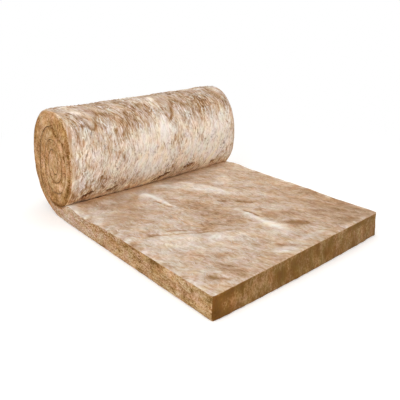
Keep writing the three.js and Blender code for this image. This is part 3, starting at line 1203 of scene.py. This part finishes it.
def strands_mesh(section, strand, strewing, seed):
    """Loose strands of fibre that lie on a big face. Each is a flattened spindle: round
    a path that curls away from the lay of the fibres, its half width is w * sqrt(1 - t^2)
    for t from -1 to 1 along it, and its half thickness is a share of that. Its middle
    lies on the relief and its ends dip under it."""
    inner_side = strewing.inner_side
    steps = section.inner_run if inner_side else section.outer_run
    lay = section.inner_lay if inner_side else section.outer_lay
    slope = np.gradient(lay) / np.maximum(np.gradient(steps), 1e-9)
    edge_gap = 0.025
    width = section.sizes.width - 2 * edge_gap
    area = (strewing.last_run - strewing.first_run) * width
    count = int(area * (strewing.crowd * strand.per_area))
    random = np.random.default_rng(seed)
    ring_count, sides = 5, 4

    run = random.uniform(strewing.first_run, strewing.last_run, count)
    across = random.uniform(-0.5, 0.5, count) * width
    half_length = 0.5 * (strand.length * random.uniform(0.45, 1.3, count))
    half_width = 0.5 * strand.width * (0.35 + 1.5 * random.uniform(0, 1, count) ** 2)
    turned = np.arctan(np.interp(run, steps, slope))
    turned = turned + random.normal(0, strewing.turning, count)
    curl = random.normal(0, 0.5, count)
    lift = random.uniform(0.0002, strewing.lift, count)
    at = np.interp(run, steps, section.steps)
    half_width *= np.sqrt(Wool(section, at, across, 0.0, inner_side).veil_and_nap()[1])

    # Arrays by strand, then ring along it, then side round it.
    run, across, half_length, half_width, turned, curl, lift = (
        part[:, None, None]
        for part in (run, across, half_length, half_width, turned, curl, lift)
    )
    t = np.linspace(-1, 1, ring_count + 2)[:, None]
    around = 2 * math.pi * np.arange(sides) / sides
    heading = turned + curl * t
    half_width = half_width * np.sqrt(np.clip(1 - t**2, 0, 1))
    aside = half_width * np.cos(around)
    above = strewing.thickness * half_width * np.sin(around) + lift * (1 - 2.5 * t**2)
    run = run + half_length * t * np.cos(heading) - aside * np.sin(heading)
    across = across + half_length * t * np.sin(heading) + aside * np.cos(heading)

    # The two tips are one corner each, and the rings between them have one for each side.
    kept = np.ones((ring_count + 2, sides), bool)
    kept[[0, -1], 1:] = False
    run, across, above = (part[:, kept] for part in (run, across, above))
    at = np.interp(run, steps, section.steps)
    facing = np.full(at.shape, inner_side)
    wool = Wool(section, at, across, 0.0, facing)
    height = wool.skin_relief() + above
    wool.through = wool.depth + height if inner_side else -height
    points = wool.settled(run)

    tip = 1 + ring_count * sides
    ring = np.arange(1, tip).reshape(ring_count, sides)
    ring = np.concatenate([ring, ring[:, :1]], 1)
    low, high = ring[:-1], ring[1:]
    quads = np.stack([low[:, :-1], low[:, 1:], high[:, 1:], high[:, :-1]], -1).reshape(-1, 4)
    start = np.stack([ring[0, 1:], ring[0, :-1], np.zeros(sides, int)], -1)
    end = np.stack([ring[-1, :-1], ring[-1, 1:], np.full(sides, tip)], -1)
    first = (np.arange(count) * (tip + 1))[:, None, None]
    faces = FaceList()
    for one in (quads, start, end):
        one = one[:, ::-1] if inner_side else one
        faces.add((one + first).reshape(-1, one.shape[1]), 0)
    mesh, used, corners = new_mesh(strewing.name, points.reshape(-1, 3), faces)

    at, across, facing = (part.ravel()[used] for part in (at, across, facing))
    wool = Wool(section, at, across, 0.0, facing)
    add_map(mesh, np.stack([wool.run, wool.stray], -1)[corners])
    veil, nap = wool.veil_and_nap()
    stray_tone = np.repeat(random.normal(0.1, strewing.tone, count), tip + 1)[used]
    add_values(mesh, "veil", np.clip(veil + stray_tone, 0, 1))
    add_values(mesh, "nap", strewing.nap * nap)
    # Painted shade in the deep gaps at the roll's foot, as on the mat.
    add_values(mesh, "nick_shade", wool.nick_shade())
    add_values(mesh, "warmth", wool.skin_warmth())
    return mesh


# ---------------------------------------------------------------- finishes


def clear_tree(owner):
    """The emptied node tree of a finish or of the surround."""
    owner.use_nodes = True
    owner.node_tree.nodes.clear()
    return owner.node_tree


def add_node(tree, kind, inputs=(), output=0, stops=(), **settings):
    """Adds a node with its settings and links, and gives the output to link further on.
    Inputs come in order or by name, each a value or another node's output. A colour
    ramp also has stops, each a place and a colour."""
    made = tree.nodes.new("ShaderNode" + kind)
    for name, value in settings.items():
        setattr(made, name, value)
    for key, value in inputs.items() if isinstance(inputs, dict) else enumerate(inputs):
        if isinstance(value, bpy.types.NodeSocket):
            tree.links.new(value, made.inputs[key])
        else:
            made.inputs[key].default_value = value
    ramp = made.color_ramp.elements if stops else ()
    while len(ramp) < len(stops):
        ramp.new(0.5)
    for element, (place, stop_colour) in zip(ramp, stops):
        element.position = place
        element.color = (*stop_colour, 1)
    return made.outputs[output] if made.outputs else None


def cloud(tree, place, size, shift=(0, 0, 0), turn=0, detail=2, roughness=0.5, distortion=0):
    """A random pattern, 0.5 on average, with blobs of this length and width in metres."""
    along, across = size
    scaled = {
        "Vector": place,
        "Location": shift,
        "Rotation": (0, 0, turn),
        "Scale": (1 / along, 1 / across, 1 / across),
    }
    pattern = {
        "Vector": add_node(tree, "Mapping", scaled),
        "Scale": 1,
        "Detail": detail,
        "Roughness": roughness,
        "Distortion": distortion,
    }
    return add_node(tree, "TexNoise", pattern)


def crisp(tree, pattern):
    """The pattern with its halftones pushed apart, so that its blobs have edges."""
    bounds = {"Value": pattern, "From Min": 0.40, "From Max": 0.60}
    return add_node(tree, "MapRange", bounds, interpolation_type="SMOOTHSTEP")


def toned(tree, tone, pattern, strength):
    """The tone made lighter or darker by a pattern that is 0.5 on average."""
    change = add_node(tree, "Math", (pattern, 0.5), operation="SUBTRACT")
    return add_node(tree, "Math", (change, strength, tone), operation="MULTIPLY_ADD")


def tinted(tree, base, factor, *stops):
    """The colour times a tint, which changes with the factor from stop to stop."""
    tint = add_node(tree, "ValToRGB", {"Fac": factor}, stops=stops)
    inputs = {"Factor": 1, "A": base, "B": tint}
    return add_node(tree, "Mix", inputs, "Result", data_type="RGBA", blend_type="MULTIPLY")


def warmed(tree, base, warm):
    """The colour, made greyish or orange as the warmth of its place says."""
    greyish, plain, orange = (0.975, 1.01, 1.05), (1, 1, 1), (1.14, 0.98, 0.71)
    warmth = add_node(tree, "Attribute", output="Fac", attribute_name="warmth")
    return tinted(tree, base, warmth, (0, greyish), (0.25, plain), (0.6, warm), (1, orange))


def drifting(tree, base, place, rosy_share):
    """The colour, warmer here and cooler there, in patches 110 mm long and 60 mm wide,
    and rosier or greener in patches 60 mm long and 40 mm wide."""
    warmer, plain, cooler = (1.05, 0.985, 0.87), (1.01, 1.0, 0.96), (0.985, 1.0, 1.01)
    drift = cloud(tree, place, (0.11, 0.06), (4, 4, 0), distortion=0.3)
    base = tinted(tree, base, drift, (0.37, warmer), (0.5, plain), (0.63, cooler))
    rosy = cloud(tree, place, (0.06, 0.04), (8, 1, 0), distortion=0.3)
    change = rosy_share * np.array((0.02, -0.042, 0.015))
    return tinted(tree, base, rosy, (0.36, 1 + change), (0.64, 1 - change))


def pitted(tree, base, place, size, pit_colour, share):
    """The colour with small dark pits of this size where a fine pattern is high. A broad
    one gathers them in places 120 mm across."""
    pits = cloud(tree, place, size, (9, 4, 0), detail=1, distortion=0.8)
    gathered = cloud(tree, place, (0.12, 0.12), (3, 9, 0), detail=1)
    pits = toned(tree, pits, gathered, 0.4)
    depth = add_node(tree, "MapRange", {"Value": pits, "From Min": 0.60, "From Max": 0.76})
    share = add_node(tree, "Math", (depth, share), operation="MULTIPLY")
    inputs = {"Factor": share, "A": base, "B": (*pit_colour, 1)}
    return add_node(tree, "Mix", inputs, "Result", data_type="RGBA")


def matt_wool(tree, base, relief, sheen=None):
    """The output of a finish with this colour and relief, matt as loose fibres are."""
    shader = {
        "Base Color": base,
        "Roughness": 0.95,
        "IOR": 1.5,
        "Specular IOR Level": 0.15,
        "Normal": add_node(tree, "Bump", relief),
    }
    surface = add_node(tree, "BsdfPrincipled", shader | (sheen or {}))
    add_node(tree, "OutputMaterial", {"Surface": surface})


def wool_skin(colours):
    """Mineral wool, spun and laid in a mat: the big faces carry a thin veil of pale loose
    fibres. The eye sees matt streaks that follow the lay of the fibres, pale where the
    veil is thick and brown where it is thin, with dark pits between them, and painted
    shade darkens the deep gaps at the roll's foot."""
    finish = bpy.data.materials.new("mineral wool, spun, veiled face")
    tree = clear_tree(finish)
    lay = add_node(tree, "UVMap", uv_map="Fibre lay")
    nap, veil, nick_shade = (
        add_node(tree, "Attribute", output="Fac", attribute_name=name)
        for name in ("nap", "veil", "nick_shade")
    )

    # Locks of fibre are about 75 mm long and 19 mm wide. Tufts are 45 mm long and 9 mm
    # wide, and cross smaller ones: each kind is turned about 20 degrees from the locks,
    # one to either side. Flecks are 11 mm long and 8 mm wide.
    locks = cloud(tree, lay, (0.075, 0.019), detail=3, roughness=0.65, distortion=0.8)
    tufts = cloud(tree, lay, (0.045, 0.009), (3, 5, 0), 0.25, roughness=0.6, distortion=0.4)
    crossed = cloud(tree, lay, (0.038, 0.008), (7, 2, 0), -0.38, roughness=0.6, distortion=0.4)
    flecks = cloud(tree, lay, (0.011, 0.008), (1, 8, 0), roughness=0.6)
    strength = add_node(tree, "Math", (nap, 0.75, 0.55), operation="MULTIPLY_ADD")
    tone = toned(tree, veil, locks, strength)
    patterns = ((crisp(tree, tufts), 0.46), (crisp(tree, crossed), 0.4), (flecks, 0.6))
    for pattern, most in patterns:
        strength = add_node(tree, "Math", (nap, most), operation="MULTIPLY")
        tone = toned(tree, tone, pattern, strength)
    stops = (
        (0.0, colours.skin_deep),
        (0.3, colours.skin_tan),
        (0.62, colours.skin_cream),
        (1.0, colours.skin_pale),
    )
    base = add_node(tree, "ValToRGB", {"Fac": tone}, stops=stops)
    # The warmth tint is painted warm shade in the crevice in front of the roll.
    base = drifting(tree, warmed(tree, base, (1.06, 1.0, 0.86)), lay, 0.6)
    # Painted shade in the deep gaps at the roll's foot.
    base = tinted(tree, base, nick_shade, (0, (1, 1, 1)), (1, (0.20, 0.09, 0.03)))
    pit_share = add_node(tree, "Math", (nap, 0.8), operation="MULTIPLY")
    base = pitted(tree, base, lay, (0.020, 0.009), colours.pit, pit_share)
    height = add_node(tree, "Math", (tufts, crossed), operation="ADD")
    height = add_node(tree, "Math", (height, locks), operation="ADD")
    strength = (nap, 0.45, 0.1)
    strength = add_node(tree, "Math", strength, operation="MULTIPLY_ADD", use_clamp=True)
    relief = {"Height": height, "Strength": strength, "Distance": 0.005}
    matt_wool(tree, base, relief, {"Sheen Weight": 0.1, "Sheen Roughness": 0.6})
    return finish


def wool_cut(colours):
    """Mineral wool, cut across its layers with a blade: the eye sees matt orange-brown
    ends of fibres in thin layers, speckled with pits, and pale where the veil of the
    big face hangs over."""
    finish = bpy.data.materials.new("mineral wool, blade-cut edge")
    tree = clear_tree(finish)
    flat = add_node(tree, "UVMap", uv_map="Fibre lay")
    nap, shade, veil = (
        add_node(tree, "Attribute", output="Fac", attribute_name=name)
        for name in ("nap", "shade", "veil")
    )

    # Layers are about 10 mm thick and 45 mm long, fibre ends 12 mm long and 9 mm high.
    layers = cloud(tree, flat, (0.045, 0.010), detail=3, roughness=0.6, distortion=1)
    ends = cloud(tree, flat, (0.012, 0.009), (2, 7, 0), 0, 3, roughness=0.65, distortion=0.8)
    ends_crisp = crisp(tree, ends)
    clouds = cloud(tree, flat, (0.13, 0.07), (5, 1, 0), distortion=0.3)
    tone = add_node(tree, "Math", (shade, 0.5), operation="ADD")
    tone = toned(tree, tone, layers, nap)
    strength = add_node(tree, "Math", (nap, 0.45), operation="MULTIPLY")
    tone = toned(tree, tone, ends_crisp, strength)
    strength = add_node(tree, "Math", (nap, 0.95, 0.1), operation="MULTIPLY_ADD")
    tone = toned(tree, tone, clouds, strength)
    tone = add_node(tree, "Math", (tone, 2 / 3, 1 / 3), operation="MULTIPLY_ADD")
    stops = (
        (0.0, colours.cut_shadow),
        (0.333, colours.cut_deep),
        (0.667, colours.cut_mid),
        (1.0, colours.cut_light),
    )
    wool = add_node(tree, "ValToRGB", {"Fac": tone}, stops=stops)

    # The veil that hangs over has gaps between its strands, and tones of its own.
    middle_tone = 0.62
    strewn = toned(tree, toned(tree, layers, ends_crisp, 0.55), clouds, 0.6)
    strewn = add_node(tree, "Math", (strewn, middle_tone), operation="SUBTRACT")
    contrast = add_node(tree, "Math", (nap, 0.7, 0.3), operation="MULTIPLY_ADD")
    strewn = add_node(tree, "Math", (strewn, contrast, middle_tone), operation="MULTIPLY_ADD")
    strewn = add_node(tree, "Math", (shade, 0.5, strewn), operation="MULTIPLY_ADD")
    stops = (
        (0.30, colours.skin_deep),
        (0.48, colours.skin_tan),
        (0.70, colours.skin_cream),
        (0.95, colours.skin_pale),
    )
    hanging = add_node(tree, "ValToRGB", {"Fac": strewn}, stops=stops)
    gaps = add_node(tree, "Math", (ends_crisp, nap), operation="MULTIPLY")
    hung = add_node(tree, "Math", (veil, 1.6), operation="MULTIPLY")
    hung = (gaps, -0.6, hung)
    hung = add_node(tree, "Math", hung, operation="MULTIPLY_ADD", use_clamp=True)
    inputs = {"Factor": hung, "A": wool, "B": hanging}
    base = add_node(tree, "Mix", inputs, "Result", data_type="RGBA")
    # At the winding's foot the warmth tint is painted warm shade.
    base = drifting(tree, warmed(tree, base, (1.085, 0.98, 0.87)), flat, 1)
    pit_share = add_node(tree, "Math", (nap, 0.9), operation="MULTIPLY")
    base = pitted(tree, base, flat, (0.014, 0.010), colours.pit, pit_share)
    height = add_node(tree, "Math", (ends, layers), operation="ADD")
    height = add_node(tree, "Math", (height, nap), operation="MULTIPLY")
    matt_wool(tree, base, {"Height": height, "Strength": 0.7, "Distance": 0.004})
    return finish


def seen_directly(tree):
    """1 for what the camera sees, by itself, mirrored or through glass, and 0 for the
    light that falls on other things."""
    rays = add_node(tree, "LightPath").node.outputs
    seen = (rays["Is Camera Ray"], rays["Is Glossy Ray"])
    seen = (add_node(tree, "Math", seen, operation="ADD"), rays["Is Transmission Ray"])
    return add_node(tree, "Math", seen, operation="ADD", use_clamp=True)


def studio_paper(floor_colour):
    """Seamless background paper, matt and smooth: the eye sees an even white with only
    the soft shadow of what stands on it. Its grain is 4 mm, as fine as can show."""
    finish = bpy.data.materials.new("seamless paper, uncoated")
    tree = clear_tree(finish)
    white = (1, 1, 1, 1)
    place = add_node(tree, "TexCoord", output="Object")
    seen = seen_directly(tree)
    grain = cloud(tree, place, (0.004, 0.004))
    bump = add_node(tree, "Bump", {"Height": grain, "Strength": 0.1, "Distance": 0.0005})
    paper = add_node(tree, "BsdfDiffuse", {"Color": (*floor_colour, 1), "Normal": bump})
    glow = add_node(tree, "Math", (seen, 0.25), operation="MULTIPLY")
    glow = add_node(tree, "Emission", {"Color": white, "Strength": glow})
    near = add_node(tree, "AddShader", (paper, glow))
    far = add_node(tree, "Emission", {"Color": white, "Strength": 1})
    away = add_node(tree, "VectorMath", (place,), "Value", operation="LENGTH")
    away = add_node(tree, "MapRange", {"Value": away, "From Min": 1.2, "From Max": 2.6})
    share_far = add_node(tree, "Math", (seen, away), operation="MULTIPLY")
    both = add_node(tree, "MixShader", (share_far, near, far))
    add_node(tree, "OutputMaterial", {"Surface": both})
    return finish


# ---------------------------------------------------------------- operators and panel


def show(mesh, *finishes):
    for finish in finishes:
        mesh.materials.append(finish)
    piece = bpy.data.objects.new(mesh.name, mesh)
    bpy.context.scene.collection.objects.link(piece)
    return piece


class WOOL_OT_mat(bpy.types.Operator):
    """Make the wool mat, wound up at one end"""

    bl_idname = "wool.make_mat"
    bl_label = "Make Mat"

    def execute(self, context):
        colours = context.scene.wool_finish
        mesh = mat_mesh(Section(context.scene.wool_mat))
        piece = show(mesh, wool_skin(colours), wool_cut(colours))
        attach(piece, "root")
        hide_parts("wool_mat")
        return {"FINISHED"}


class WOOL_OT_strands(bpy.types.Operator):
    """Make the loose strands that lie on the mat's faces"""

    bl_idname = "wool.make_strands"
    bl_label = "Make Loose Strands"

    def execute(self, context):
        section = Section(context.scene.wool_mat)
        finish = bpy.data.materials["mineral wool, spun, veiled face"]
        for seed, strewing in enumerate(STREWINGS):
            mesh = strands_mesh(section, context.scene.wool_strands, strewing, seed)
            piece = show(mesh, finish)
            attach(piece, "root")
        return {"FINISHED"}


def soft_lamp(name, place, size, power):
    """A round lamp that points at the middle of the mat."""
    aim = Vector((0, 0, 0.2))
    light = bpy.data.lights.new(name, "AREA")
    light.shape = "DISK"
    light.size = size
    light.energy = power
    lamp = bpy.data.objects.new(name, light)
    lamp.location = place
    lamp.rotation_euler = (aim - Vector(place)).to_track_quat("-Z", "Y").to_euler()
    bpy.context.scene.collection.objects.link(lamp)


def studio_surround(level):
    """Even light from all sides, white where the camera sees it."""
    world = bpy.data.worlds.new("studio_surround")
    tree = clear_tree(world)
    white = (1, 1, 1, 1)
    light = add_node(tree, "Background", {"Color": white, "Strength": 0.7 * level})
    backdrop = add_node(tree, "Background", {"Color": white, "Strength": 1})
    both = add_node(tree, "MixShader", (seen_directly(tree), light, backdrop))
    add_node(tree, "OutputWorld", {"Surface": both})
    return world


class WOOL_OT_stage(bpy.types.Operator):
    """Make the floor, the lamps and the camera"""

    bl_idname = "wool.make_stage"
    bl_label = "Make Stage"

    def execute(self, context):
        studio = context.scene.wool_studio
        half = 30
        floor = bpy.data.meshes.new("studio_floor")
        corners = [(-half, -half, 0), (half, -half, 0), (half, half, 0), (-half, half, 0)]
        floor.from_pydata(corners, [], [(0, 1, 2, 3)])
        show(floor, studio_paper(studio.floor))
        context.scene.world = studio_surround(studio.level)
        soft_lamp("window_lamp", (-3.2, -1.2, 2.4), 2.4, 45 * studio.level)
        soft_lamp("ceiling_lamp", (0.2, 0.0, 4.2), 3.0, 40 * studio.level)
        soft_lamp("front_lamp", (-0.8, -4.0, 0.9), 2.6, 34 * studio.level)

        camera = bpy.data.cameras.new("camera")
        camera.sensor_width = 36
        camera.lens = studio.lens
        eye = bpy.data.objects.new("camera", camera)
        eye.location = studio.eye
        eye.rotation_euler = Euler((math.pi / 2 - studio.tilt, 0, -studio.turn))
        context.scene.collection.objects.link(eye)
        context.scene.camera = eye
        context.scene.view_settings.view_transform = "Standard"
        return {"FINISHED"}


class WOOL_PT_panel(bpy.types.Panel):
    """Sizes and colours of the wool roll, and the buttons that make it"""

    bl_idname = "WOOL_PT_panel"
    bl_label = "Wool Roll"
    bl_space_type = "VIEW_3D"
    bl_region_type = "UI"
    bl_category = "Wool Roll"

    def draw(self, context):
        groups = (
            ("Mat", context.scene.wool_mat, "wool.make_mat"),
            ("Strands", context.scene.wool_strands, "wool.make_strands"),
            ("Finish", context.scene.wool_finish, None),
            ("Studio", context.scene.wool_studio, "wool.make_stage"),
        )
        for title, group, button in groups:
            box = self.layout.box()
            box.label(text=title)
            for name in group.__annotations__:
                box.prop(group, name)
            if button:
                box.operator(button)


CLASSES = (
    MatSizes,
    StrandSizes,
    WoolFinish,
    Studio,
    WOOL_OT_mat,
    WOOL_OT_strands,
    WOOL_OT_stage,
    WOOL_PT_panel,
)


def register():
    for kind in CLASSES:
        bpy.utils.register_class(kind)
    bpy.types.Scene.wool_mat = bpy.props.PointerProperty(type=MatSizes)
    bpy.types.Scene.wool_strands = bpy.props.PointerProperty(type=StrandSizes)
    bpy.types.Scene.wool_finish = bpy.props.PointerProperty(type=WoolFinish)
    bpy.types.Scene.wool_studio = bpy.props.PointerProperty(type=Studio)


def unregister():
    del bpy.types.Scene.wool_studio
    del bpy.types.Scene.wool_finish
    del bpy.types.Scene.wool_strands
    del bpy.types.Scene.wool_mat
    for kind in reversed(CLASSES):
        bpy.utils.unregister_class(kind)


def main():
    register()
    bpy.ops.wool.make_mat()
    bpy.ops.wool.make_strands()
    bpy.ops.wool.make_stage()


if __name__ == "__main__":
    main()
